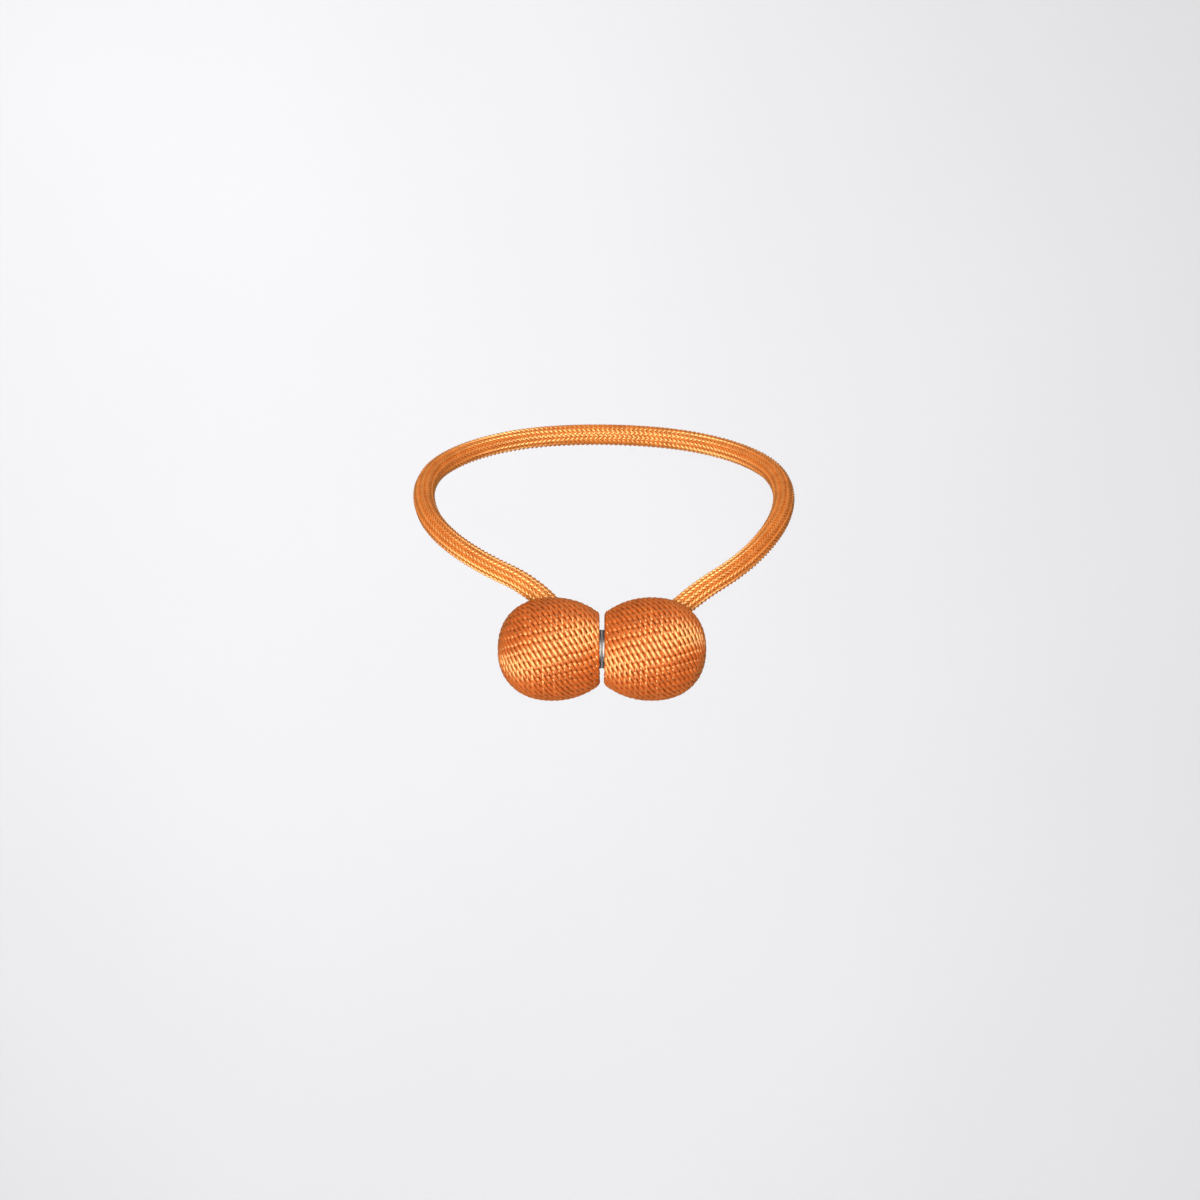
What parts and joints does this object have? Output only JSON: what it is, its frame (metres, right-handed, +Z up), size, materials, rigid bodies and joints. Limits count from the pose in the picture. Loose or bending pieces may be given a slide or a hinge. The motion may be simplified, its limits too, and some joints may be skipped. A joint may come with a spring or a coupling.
{
  "type": "curtain tieback",
  "caption": "Magnetic curtain tieback: yarn-wound balls clasped by disc magnets, joined by a braided cord that loops round a gathered curtain",
  "frame": {"origin": "the middle of the cord's loop, where the gathered curtain passes through", "axes": "+X from the left ball to the right ball, +Y to the back of the loop, +Z up along the curtain"},
  "size_m": [0.1225, 0.1169, 0.0898],
  "materials": {
    "core": "turned wood stained orange, covered by the yarn",
    "yarn": "satin orange two-ply twisted yarn",
    "magnet": "nickel-plated disc magnet",
    "cord": "satin orange braided cord"
  },
  "bodies": {
    "cord_and_left_ball": {"braided_cord": "cord", "left_ball_core": "core", "left_yarn_winding": "yarn", "left_magnet": "magnet"},
    "right_ball": {"right_ball_core": "core", "right_yarn_winding": "yarn", "right_magnet": "magnet"}
  },
  "joints": [
    {"name": "clasp_pull", "type": "slide", "parent": "cord_and_left_ball", "child": "right_ball", "axis": [1, 0, 0], "range_m": [0, 0.012], "deforming": ["braided_cord"]}
  ]
}
